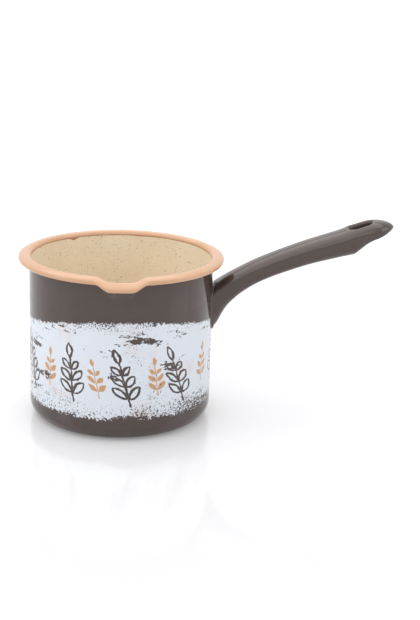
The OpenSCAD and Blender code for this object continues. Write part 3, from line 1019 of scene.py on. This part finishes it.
@dataclass
class Handle:
    """The welded handle's enamelled form, with the CAD source's sizes and stations.

    The enamel gathers a little thicker in the hollow under the root, as it does when it is fired.
    A station holds a share of the length, then the crest's and the underside's height as shares of
    the rise, the width as a share of the full one and the crown as a share of its full height.
    """

    body_r: float = 70.0
    handle_len: float = 138.0
    root_z: float = 104.0
    rise: float = 51.0
    width: float = 29.0
    crown_h: float = 9.5
    seam_gap: float = 0.8
    weld_leg: float = 1.4
    enamel_t: float = 0.3
    pool_t: float = 0.85
    pool_share: float = 0.15
    crest_t: float = 0.15
    crest_share: float = 0.0375
    slot_len: float = 18.0
    slot_w: float = 12.5
    slot_edge_r: float = 3.2
    slot_foot_r: float = 0.8
    nose_share: float = 0.9
    nose_drop_share: float = 0.91
    root_blend_share: float = 0.15
    crown_power: float = 2.35
    belly_power: float = 2.8
    nose_power: float = 1.5
    nose_belly_power: float = 1.0
    nose_lift_power: float = 1.25
    slot_share: float = 0.81
    slope_step_share: float = 0.02
    half_points: int = 48
    grip_rings: int = 40
    grip_share: float = 0.70
    grip_crowding: float = 1.3
    even_rings: int = 34
    even_share: float = 0.0075
    nose_rings: int = 14
    nose_turn: float = 89.0
    pool_steepness: float = 3.0
    crest_steepness: float = 2.0
    weld_clearance: float = 1.15
    weld_rings: int = 9
    window_rings: int = 26
    window_points: tuple[int, int] = (10, 38)
    crown_window: int = 1
    belly_window: int = 6
    settling_steps: int = 12
    knee_share: float = 0.55
    approach_rings: int = 6
    edge_start_turn: float = 80.0
    edge_rings: int = 9
    wall_rings: int = 8
    foot_rings: int = 4
    exit_rings: int = 4
    stations: tuple[tuple[float, ...], ...] = (
        (-0.020, -0.060, -0.760, 1.00, 0.80),
        (0.000, -0.028, -0.690, 0.98, 0.78),
        (0.030, 0.035, -0.590, 0.94, 0.78),
        (0.060, 0.092, -0.425, 0.91, 0.79),
        (0.100, 0.163, -0.265, 0.88, 0.80),
        (0.250, 0.381, 0.031, 0.87, 0.84),
        (0.500, 0.654, 0.300, 0.91, 0.86),
        (0.700, 0.835, 0.448, 0.97, 0.93),
        (0.760, 0.902, 0.484, 0.99, 0.96),
        (0.785, 0.924, 0.508, 1.00, 0.97),
        (0.850, 0.981, 0.668, 1.00, 0.98),
        (0.900, 1.000, 0.752, 0.98, 0.96),
        (1.020, 1.010, 0.890, 0.80, 0.90),
    )

    def __post_init__(self) -> None:
        """Lay out the rings along the handle and the slot's own frame."""
        self.table = np.array(self.stations)
        self.slopes = np.zeros_like(self.table)
        run = self.table[2:, :1] - self.table[:-2, :1]
        self.slopes[1:-1] = (self.table[2:] - self.table[:-2]) / run
        step = self.slope_step_share
        rise = self.value(self.slot_share + step, 1) - self.value(self.slot_share - step, 1)
        tilt = math.atan(rise * self.rise / (2 * step * self.handle_len))
        self.cos, self.sin = math.cos(tilt), math.sin(tilt)
        self.slot_x = self.body_r + self.slot_share * self.handle_len
        self.slot_z = self.root_z + self.value(self.slot_share, 1) * self.rise
        crowded = (np.arange(1, self.grip_rings + 1) / self.grip_rings) ** self.grip_crowding
        grip = self.grip_share * crowded
        grip = grip[grip * self.handle_len > self.weld_leg * self.weld_clearance]
        even = self.grip_share + self.even_share * np.arange(1, self.even_rings + 1)
        turns = np.radians(self.nose_turn) * np.arange(1, self.nose_rings + 1) / self.nose_rings
        nose = even[-1] + (1 - even[-1]) * np.sin(turns)
        self.first_even = len(grip)
        self.shares = np.concatenate([grip, even, nose])

    def value(self, share: Values, column: int) -> Values:
        """Smooth value between the stations.

        Args:
            share: share of the handle's length, or many of them.
            column: which column of the stations.

        Returns:
            The value at each share.
        """
        at = self.table[:, 0]
        i = np.clip(np.searchsorted(at, share, side="right") - 1, 1, len(at) - 3)
        span = at[i + 1] - at[i]
        t = (share - at[i]) / span
        t2, t3 = t * t, t * t * t
        here, there = self.table[i, column], self.table[i + 1, column]
        leaving, arriving = self.slopes[i, column], self.slopes[i + 1, column]
        start = (2 * t3 - 3 * t2 + 1) * here + (t3 - 2 * t2 + t) * span * leaving
        return start + (3 * t2 - 2 * t3) * there + (t3 - t2) * span * arriving

    def nose(self, share: Values) -> Values:
        """How far along the nose a share of the length lies, from 0 to 1."""
        return np.clip((share - self.nose_share) / (1 - self.nose_share), 0, 1)

    def nose_left(self, share: Values, power: float) -> Values:
        """How much of a half size is left where the nose closes."""
        return (1 - self.nose(share) ** power) ** (1 / power)

    def seam(self, share: Values) -> Values:
        """Height of the seam over the root, as a share of the rise, before the nose."""
        return self.value(share, 1) - self.value(share, 4) * self.crown_h / self.rise

    def ring(self, share: Values, deep: float) -> tuple[Values, ...]:
        """Sizes of the rings at shares of the length.

        Args:
            share: share of the handle's length, or many of them.
            deep: how far under the coat's face the rings lie.

        Returns:
            Middle, seam height, half width, crown, belly and half gap.
        """
        flat = np.minimum(share, self.nose_share)
        seam = self.seam(flat)
        lift = self.nose_drop_share - self.seam(self.nose_share)
        crown = self.value(flat, 4) * self.crown_h
        belly = (seam - self.value(flat, 2)) * self.rise
        half_w = self.value(flat, 3) * self.width / 2
        left = self.nose_left(share, self.nose_power)
        under = self.nose_left(share, self.nose_belly_power)
        on_face = 0.0 if deep else 1.0
        pool = on_face * self.pool_t * ease(self.pool_steepness * (1 - share / self.pool_share))
        crest = on_face * self.crest_t * ease(self.crest_steepness * (1 - share / self.crest_share))
        return (
            self.body_r + share * (self.handle_len - deep),
            self.root_z + (seam + self.nose(share) ** self.nose_lift_power * lift) * self.rise,
            half_w * left * (1 - deep / half_w),
            crown * left * (1 - deep / crown) + crest,
            belly * under * (1 - deep / belly) + pool,
            self.seam_gap / 2 * left,
        )

    def half(self, share: float, lift: float, grow: float, deep: float, side: Side) -> np.ndarray:
        """Half a ring from -Y to +Y over or under the seam.

        Args:
            share: share of the handle's length.
            lift: how far it stands out of its place along the handle.
            grow: how much larger it is all round.
            deep: how far under the coat's face it lies.
            side: which half it is.

        Returns:
            Its points.
        """
        middle, seam, half_w, crown, belly, gap = self.ring(share, deep)
        power = self.crown_power if side is Side.CROWN else self.belly_power
        tall = (crown if side is Side.CROWN else belly) + grow
        angle = math.pi * np.arange(self.half_points + 1) / self.half_points
        cos, sin = np.cos(angle), np.abs(np.sin(angle))
        y = -(half_w + grow) * np.sign(cos) * np.abs(cos) ** (2 / power)
        z = seam + side.value * (gap + (tall - gap) * sin ** (2 / power))
        fade = min(max(1 - share / self.root_blend_share, 0.0), 1.0)
        x = middle + lift - fade * (self.body_r - np.sqrt(self.body_r**2 - y**2))
        return np.column_stack([x, y, z])

    def height(self, x: np.ndarray, y: np.ndarray, deep: float, side: Side) -> np.ndarray:
        """Height of the crown or the belly over points in plan.

        Args:
            x, y: the points.
            deep: how far under the coat's face it is taken.
            side: crown or belly.

        Returns:
            The height at each point.
        """
        share = (x - self.body_r) / (self.handle_len - deep)
        _, seam, half_w, crown, belly, gap = self.ring(share, deep)
        power, tall = (self.crown_power, crown) if side is Side.CROWN else (self.belly_power, belly)
        fall = np.clip(1 - (np.abs(y) / half_w) ** power, 0, 1) ** (1 / power)
        return seam + side.value * (gap + (tall - gap) * fall)

    def in_slot(self, points: np.ndarray) -> np.ndarray:
        """Where points lie in the slot's plane: along the handle and across it."""
        along = (points[:, 0] - self.slot_x) * self.cos + (points[:, 2] - self.slot_z) * self.sin
        return np.column_stack([along, points[:, 1]])

    def from_slot(self, plan: np.ndarray, over: np.ndarray) -> np.ndarray:
        """Turn places over the slot's plane into points in the pan's frame.

        Args:
            plan: places in the slot's plane.
            over: how far each is over it.

        Returns:
            The points.
        """
        u, y = plan.T
        x = self.slot_x + u * self.cos - over * self.sin
        return np.column_stack([x, y, self.slot_z + u * self.sin + over * self.cos])

    def over_slot(self, plan: np.ndarray, deep: float, side: Side) -> np.ndarray:
        """How far over the slot's plane the handle's surface is.

        Args:
            plan: places in the slot's plane.
            deep: how far under the coat's face it is taken.
            side: crown or belly.

        Returns:
            The distance at each place, found by going halfway there again and again.
        """
        u, y = plan.T
        over = np.zeros_like(u)
        for _ in range(self.settling_steps):
            z = self.height(self.slot_x + u * self.cos - over * self.sin, y, deep, side)
            over = 0.5 * over + 0.5 * (z - self.slot_z - u * self.sin) / self.cos
        return over

    def number(self, ring: int, side: Side, j: int) -> int:
        """Number of a point of half a ring, in the order that skin makes them in."""
        return (2 * ring + (side is Side.BELLY)) * (self.half_points + 1) + j

    def around(self, ring: int) -> list[int]:
        """Number a whole ring's points, over the crown and back under the belly.

        Args:
            ring: which ring.

        Returns:
            The numbers in order.
        """
        there = range(self.half_points + 1)
        over = [self.number(ring, Side.CROWN, j) for j in there]
        return over + [self.number(ring, Side.BELLY, j) for j in there[::-1]]

    def skin(self, deep: float) -> tuple[np.ndarray, list[Face], list[int]]:
        """One skin of the coat with the hang slot through it.

        Args:
            deep: how far under the coat's face it lies.

        Returns:
            Its points, its faces, and the numbers of its points round the root.
        """
        leg = self.weld_leg
        places = [(0.0, -self.enamel_t, leg)]
        for turn in np.radians(np.linspace(0, 90, self.weld_rings)):
            places.append((0.0, leg * (1 - math.cos(turn)) - deep, leg * (1 - math.sin(turn))))
        first = len(places) + self.first_even
        places += [(float(s), 0.0, 0.0) for s in self.shares]
        points = [self.half(*place, deep, side) for place in places for side in (Side.CROWN, Side.BELLY)]
        last, n = len(places) - 1, self.half_points
        j0, j1 = self.window_points
        starts = {Side.CROWN: first + self.crown_window, Side.BELLY: first + self.belly_window}
        faces: list[Face] = []
        loops = {}
        for side, i0 in starts.items():
            i1 = i0 + self.window_rings
            for i in range(last):
                for j in range(n):
                    if i0 <= i < i1 and j0 <= j < j1:
                        continue
                    corners = ((i, j), (i, j + 1), (i + 1, j + 1), (i + 1, j))
                    faces.append(tuple(self.number(ring, side, at) for ring, at in corners))
            loop = [(i0, j) for j in range(j0, j1)] + [(i, j1) for i in range(i0, i1)]
            loop += [(i1, j) for j in range(j1, j0, -1)] + [(i, j0) for i in range(i1, i0, -1)]
            loops[side] = [self.number(ring, side, at) for ring, at in loop]
        for i in range(last):
            for j in (0, n):
                corners = ((i, Side.CROWN), (i, Side.BELLY), (i + 1, Side.BELLY), (i + 1, Side.CROWN))
                faces.append(tuple(self.number(ring, side, j) for ring, side in corners))
        faces.append(tuple(self.around(last)))
        flat = np.vstack(points)
        rings = self.slot_walls(flat[loops[Side.CROWN]], flat[loops[Side.BELLY]], deep)
        between = ring_numbers(len(rings), len(rings[0]), first=len(flat))
        faces += ring_faces([loops[Side.CROWN], *between, loops[Side.BELLY]])
        return np.vstack([flat, *rings]), faces, self.around(0)

    def slot_walls(self, above: np.ndarray, below: np.ndarray, deep: float) -> list[np.ndarray]:
        """Rings from the crown's opening, over the rolled edge and down the slot to the belly's opening.

        Args:
            above, below: points round the openings of the crown and of the belly.
            deep: how far under the coat's face the skin lies.

        Returns:
            The rings between the two openings.
        """
        start, end = self.in_slot(above), self.in_slot(below)
        half_w, half_run = self.slot_w / 2, (self.slot_len - self.slot_w) / 2
        knee = np.clip(start[:, 0] * self.knee_share, -half_run, half_run)
        middle = np.column_stack([knee, np.zeros(len(knee))])
        away = start - middle
        away /= np.linalg.norm(away, axis=1)[:, None]
        edge_r, foot_r = self.slot_edge_r - deep, self.slot_foot_r - deep
        rings = []

        def add(plan: np.ndarray, side: Side, raised: float = 0.0) -> None:
            """Add a ring over the slot's plane, raised over the surface there."""
            rings.append(self.from_slot(plan, self.over_slot(plan, deep, side) + raised))

        brim = middle + (half_w + self.slot_edge_r) * away
        for share in np.arange(1, self.approach_rings + 1) / self.approach_rings:
            add(start + (brim - start) * share, Side.CROWN)
        for turn in np.radians(np.linspace(self.edge_start_turn, 0, self.edge_rings)):
            reach = half_w + self.slot_edge_r - edge_r * math.cos(turn)
            add(middle + reach * away, Side.CROWN, -edge_r * (1 - math.sin(turn)))
        plan = middle + (half_w + deep) * away
        upper = self.over_slot(plan, deep, Side.CROWN) - edge_r
        lower = self.over_slot(plan, deep, Side.BELLY) + foot_r
        for share in np.arange(1, self.wall_rings + 1) / self.wall_rings:
            rings.append(self.from_slot(plan, upper + (lower - upper) * share))
        for turn in np.radians(np.linspace(90 / self.foot_rings, 90, self.foot_rings)):
            reach = half_w + self.slot_foot_r - foot_r * math.cos(turn)
            add(middle + reach * away, Side.BELLY, foot_r * (1 - math.sin(turn)))
        foot = middle + (half_w + self.slot_foot_r) * away
        for share in np.arange(1, self.exit_rings + 1) / (self.exit_rings + 1):
            add(foot + (end - foot) * share, Side.BELLY)
        return rings

    def build(self, finishes: Finishes) -> None:
        """Make and dress the handle's coat as one closed layer.

        Args:
            finishes: what it is dressed in.
        """
        outer, faces, outer_root = self.skin(0.0)
        inner, inner_faces, inner_root = self.skin(self.enamel_t)
        shift = len(outer)
        faces += [tuple(v + shift for v in face) for face in inner_faces]
        faces += ring_faces([outer_root, [v + shift for v in inner_root]])
        coat = mesh_object("handle_coat", np.vstack([outer, inner]), faces)
        finish_piece(coat, Slot.BROWN, finishes[Slot.BROWN], "handle_enamel")


# Pieces made with Geometry Nodes


class Weaving(Wiring):
    """A Geometry Nodes tree with named sizes, run once and then thrown away."""

    def __init__(self, name: str, sizes: dict[str, float]) -> None:
        """Start a tree with one named input for each size.

        Args:
            name: name of the tree.
            sizes: value of each input, by its name.
        """
        super().__init__(bpy.data.node_groups.new(name, "GeometryNodeTree"))
        self.sizes = sizes
        sockets = self.tree.interface
        sockets.new_socket("Geometry", in_out="INPUT", socket_type="NodeSocketGeometry")
        for key in sizes:
            sockets.new_socket(key, in_out="INPUT", socket_type="NodeSocketFloat")
        sockets.new_socket("Geometry", in_out="OUTPUT", socket_type="NodeSocketGeometry")
        self.entry = self.tree.nodes.new("NodeGroupInput")

    def bake(
        self, name: str, geometry: Any, material: bpy.types.Material, base: Optional[bpy.types.Mesh] = None
    ) -> bpy.types.Object:
        """Run the tree and keep its result as a plain mesh object.

        Args:
            name: name of the piece.
            geometry: the tree's last geometry, before it is realized and dressed.
            material: what the piece is dressed in.
            base: mesh that the tree starts from, if any.

        Returns:
            The piece, with no modifier left.
        """
        real = self.out("GeometryNodeRealizeInstances", 0, {0: geometry})
        dressed = self.out("GeometryNodeSetMaterial", 0, {0: real, "Material": material})
        self.node("NodeGroupOutput", {0: dressed})
        holder = linked(name + "_tree", base or bpy.data.meshes.new(name + "_tree"))
        modifier = holder.modifiers.new("tree", "NODES")
        modifier.node_group = self.tree
        for item in self.tree.interface.items_tree:
            if item.item_type == "SOCKET" and item.in_out == "INPUT" and item.name in self.sizes:
                modifier[item.identifier] = self.sizes[item.name]
        result = run_modifiers(holder)
        bpy.data.objects.remove(holder)
        result.name = name
        return linked(name, result)


@dataclass
class PrintedBand:
    """The fired print: a thin ring on the wall, open round the handle's root."""

    body_r: float = 70.0
    band_z: float = 13.0
    band_h: float = 83.0
    band_t: float = 0.05
    margin: float = 2.5
    cut_depth: float = 6.0
    sharp_angle: float = 30.0
    segments: int = 480

    def build(self, finishes: Finishes, handle: Handle) -> None:
        """Sweep the ring with Geometry Nodes, cut the root's window and dress it.

        Args:
            finishes: what it is dressed in.
            handle: the handle that the window goes round.
        """
        sizes = {
            "Radius": (self.body_r + self.band_t / 2) * MM,
            "Height": self.band_h * MM,
            "Thickness": self.band_t * MM,
            "Foot": (self.band_z + self.band_h / 2) * MM,
        }
        weaving = Weaving("print_ring", sizes)
        size = weaving.entry.outputs
        inputs = {"Resolution": self.segments, "Radius": size["Radius"]}
        circle = weaving.out("GeometryNodeCurvePrimitiveCircle", 0, inputs)
        inputs = {"Width": size["Thickness"], "Height": size["Height"]}
        outline = weaving.out("GeometryNodeCurvePrimitiveQuadrilateral", 0, inputs)
        swept = weaving.out("GeometryNodeCurveToMesh", 0, {"Curve": circle, "Profile Curve": outline})
        lift = weaving.out("ShaderNodeCombineXYZ", 0, {"Z": size["Foot"]})
        placed = weaving.out("GeometryNodeTransform", 0, {"Geometry": swept, "Translation": lift})
        band = weaving.bake("print_band", placed, finishes[Slot.PRINT])
        self.cut_window(band, handle)
        face_outwards(band.data)
        band.data.set_sharp_from_angle(angle=math.radians(self.sharp_angle))
        finish_piece(band, Slot.PRINT, finishes[Slot.PRINT], "printed_band")

    def cut_window(self, band: bpy.types.Object, handle: Handle) -> None:
        """Cut the opening round the handle's root out of the ring.

        Args:
            band: the ring.
            handle: the handle that the window goes round.
        """
        grow = handle.weld_leg + self.margin
        rings = []
        for lift in (-self.cut_depth, self.cut_depth):
            upper = handle.half(0.0, lift, grow, 0.0, Side.CROWN)
            lower = handle.half(0.0, lift, grow, 0.0, Side.BELLY)[::-1]
            loop = np.vstack([upper, lower])
            loop[:, 0] = self.body_r + lift
            rings.append(loop)
        near, far = ring_numbers(2, len(rings[0]))
        faces = ring_faces([near, far]) + [tuple(near), tuple(far[::-1])]
        cutter = mesh_object("window_cutter", np.vstack(rings), faces)
        modifier = band.modifiers.new("window", "BOOLEAN")
        modifier.operation, modifier.solver, modifier.object = "DIFFERENCE", "EXACT", cutter
        result = run_modifiers(band)
        band.modifiers.clear()
        band.data = result
        bpy.data.objects.remove(cutter)


@dataclass
class LiningFlecks:
    """Larger dark flecks fired in the lining, scattered over it with a fixed seed."""

    seed: int = 7
    a_square_m: float = 3600.0
    radius_mm: float = 0.34
    least: tuple[float, float, float] = (0.3, 0.3, 0.1)
    most: tuple[float, float, float] = (1.6, 1.4, 0.14)
    top_m: float = 0.12
    least_inward_m: float = 1e-3
    least_upward: float = 0.3

    def build(self, finishes: Finishes) -> None:
        """Scatter flat flecks over the lining's shown face with Geometry Nodes.

        Args:
            finishes: what they are dressed in.
        """
        weaving = Weaving("lining_flecks", {"Density": self.a_square_m, "Radius": self.radius_mm * MM})
        size = weaving.entry.outputs
        inputs = {"Mesh": size["Geometry"], "Density": size["Density"], "Seed": self.seed}
        points = weaving.node("GeometryNodeDistributePointsOnFaces", inputs).outputs
        inputs = {"Radius": size["Radius"], "Subdivisions": 1}
        ball = weaving.out("GeometryNodeMeshIcoSphere", 0, inputs)
        inputs = {"Min": self.least, "Max": self.most, "Seed": self.seed + 1}
        scale = weaving.out("FunctionNodeRandomValue", 0, inputs, data_type="FLOAT_VECTOR")
        inputs = {key: points[key] for key in ("Points", "Rotation")} | {"Instance": ball, "Scale": scale}
        scattered = weaving.out("GeometryNodeInstanceOnPoints", 0, inputs)
        flecks = weaving.bake("lining_flecks", scattered, finishes[Slot.BROWN], self.ground())
        for polygon in flecks.data.polygons:
            polygon.use_smooth = True
        finish_piece(flecks, Slot.BROWN, finishes[Slot.BROWN])

    def ground(self) -> bpy.types.Mesh:
        """Copy the lining's shown face.

        Returns:
            A mesh of that face alone.
        """
        work = bmesh.new()
        work.from_mesh(bpy.data.objects["lining_coat"].data)
        hidden = [face for face in work.faces if not self.is_shown(face)]
        bmesh.ops.delete(work, geom=hidden, context="FACES")
        mesh = bpy.data.meshes.new("fleck_ground")
        work.to_mesh(mesh)
        work.free()
        return mesh

    def is_shown(self, face: bmesh.types.BMFace) -> bool:
        """Whether a face of the lining looks into the pan, below the shoulder.

        Args:
            face: the face.

        Returns:
            True for a face that flecks can lie on.
        """
        middle = face.calc_center_median()
        inward = -(face.normal.x * middle.x + face.normal.y * middle.y)
        faces_in = inward > self.least_inward_m or face.normal.z > self.least_upward
        return middle.z < self.top_m and faces_in


# Studio


@dataclass(frozen=True)
class View:
    """The photograph's camera: where it stands and where it looks."""

    distance_mm: float = 999.96
    aim_z_mm: float = 60.0
    raised: float = 0.31896
    roll: float = 0.032607
    yaw: float = 0.072348
    pitch: float = -0.021536
    focal_px: float = 1283.17
    frame_px: float = 620.0
    sensor_mm: float = 36.0

    def build(self) -> None:
        """Make the camera and give it to the scene."""
        back, up = math.cos(self.raised) * self.distance_mm, math.sin(self.raised) * self.distance_mm
        place = Vector((0, -back, self.aim_z_mm + up))
        down = self.raised + self.pitch
        level = math.cos(down)
        ahead = Vector((math.sin(self.yaw) * level, math.cos(self.yaw) * level, -math.sin(down)))
        right = ahead.cross(Vector((0, 0, 1))).normalized()
        above = right.cross(ahead)
        cos, sin = math.cos(self.roll), math.sin(self.roll)
        right, above = right * cos + above * sin, above * cos - right * sin
        turn = Matrix((right, above, -ahead)).transposed().to_4x4()
        data = bpy.data.cameras.new("photo_camera")
        data.sensor_width = self.sensor_mm
        data.lens = self.focal_px * self.sensor_mm / self.frame_px
        camera = linked("photo_camera", data)
        camera.matrix_world = Matrix.Translation(place * MM) @ turn
        bpy.context.scene.camera = camera


@dataclass(frozen=True)
class Lamp:
    """A soft rectangular lamp that looks at a point of the pan; sizes in metres."""

    name: str
    place: tuple[float, float, float]
    size: tuple[float, float]
    watts: float
    aim: tuple[float, float, float] = (0.03, 0.0, 0.08)

    def build(self) -> None:
        """Make the lamp."""
        data = bpy.data.lights.new(self.name, "AREA")
        data.shape = "RECTANGLE"
        data.size, data.size_y = self.size
        data.energy = self.watts
        lamp = linked(self.name, data)
        lamp.location = self.place
        lamp.rotation_euler = (Vector(self.aim) - lamp.location).to_track_quat("-Z", "Y").to_euler()


@dataclass
class Studio:
    """White table, white surroundings and soft lamps; sizes in metres."""

    floor_m: float = 12.0
    floor_z: float = -0.0002
    floor_colour: Colour = (0.9, 0.9, 0.91, 1.0)
    seen_colour: Colour = (0.74, 0.74, 0.76, 1.0)
    floor_roughness: float = 0.1
    floor_shine: float = 1.0
    glow: tuple[float, float] = (0.2, 0.36)
    glow_reach: tuple[float, float] = (0.1, 1.2)
    ambient: float = 0.62
    lamps: tuple[Lamp, ...] = (
        Lamp("left_softbox", (-1.1, -0.35, 0.75), (0.4, 0.9), 2.3),
        Lamp("right_softbox", (1.2, -0.3, 0.8), (0.7, 1.1), 3.0),
        Lamp("top_softbox", (-0.2, 0.4, 1.4), (1.9, 1.8), 13.0),
        Lamp("front_softbox", (-0.35, -1.2, 1.45), (1.8, 1.0), 5.5),
    )

    def build(self) -> None:
        """Make the table, the world and the lamps."""
        self.world()
        self.table()
        for lamp in self.lamps:
            lamp.build()
        bpy.context.scene.view_settings.view_transform = "Standard"

    def world(self) -> None:
        """White surroundings, plain white to the camera and in reflections."""
        world = bpy.data.worlds.new("white_tent")
        wiring = fresh_wiring(world)
        strength = wiring.seen() * (1.0 - self.ambient) + self.ambient
        back = wiring.out("ShaderNodeBackground", 0, {"Color": WHITE, "Strength": strength})
        wiring.show(back, "ShaderNodeOutputWorld")
        bpy.context.scene.world = world

    def table(self) -> None:
        """Glossy white table that keeps the pan's shadow and a faint mirror image.

        What is seen of it glows a little, and more so away from the pan, so that it ends up white.
        """
        half = self.floor_m / 2
        corners = [(-half, -half), (half, -half), (half, half), (-half, half)]
        mesh = bpy.data.meshes.new("table")
        mesh.from_pydata([(x, y, self.floor_z) for x, y in corners], [], [(0, 1, 2, 3)])
        table = linked("table", mesh)
        material = bpy.data.materials.new("white_table")
        wiring = fresh_wiring(material)
        seen = wiring.seen()
        inputs = {
            "Base Color": wiring.blend(seen, self.floor_colour, self.seen_colour),
            "Roughness": self.floor_roughness,
            "Specular IOR Level": self.floor_shine,
        }
        shader = wiring.out("ShaderNodeBsdfPrincipled", 0, inputs)
        place = wiring.out("ShaderNodeNewGeometry", "Position")
        away = wiring.out("ShaderNodeVectorMath", "Value", {0: place}, operation="LENGTH")
        strength = wiring.ramp(away, *self.glow_reach, *self.glow)
        glow = wiring.out("ShaderNodeEmission", 0, {"Color": WHITE, "Strength": strength})
        both = wiring.out("ShaderNodeAddShader", 0, {0: shader, 1: glow})
        wiring.show(wiring.out("ShaderNodeMixShader", 0, {0: seen, 1: shader, 2: both}))
        mesh.materials.append(material)


# Everything together


def dress_steel(finishes: Finishes) -> None:
    """Give the CAD nodes of bare steel and weld metal their finishes.

    Args:
        finishes: where the finishes come from.
    """
    slots = {
        "body_pressing": Slot.STEEL,
        "handle_upper_pressing": Slot.STEEL,
        "handle_lower_pressing": Slot.STEEL,
        "handle_seam_weld": Slot.WELD,
        "handle_root_weld": Slot.WELD,
    }
    for name, slot in slots.items():
        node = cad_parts[name]
        if not node.material_slots:
            node.data.materials.append(finishes[slot])
        for place in node.material_slots:
            place.material = finishes[slot]
        LOG.info("%s: carried over in %s", name, slot.value)


def main() -> None:
    """Build the camera, the studio, the finishes and every piece."""
    logging.basicConfig(level=logging.INFO, format="%(name)s: %(message)s")
    View().build()
    Studio().build()
    finishes = Finishes()
    dress_steel(finishes)
    PanBody().build(finishes)
    handle = Handle()
    handle.build(finishes)
    PrintedBand().build(finishes, handle)
    LiningFlecks().build(finishes)
    bpy.context.view_layer.update()


if __name__ == "__main__":
    main()
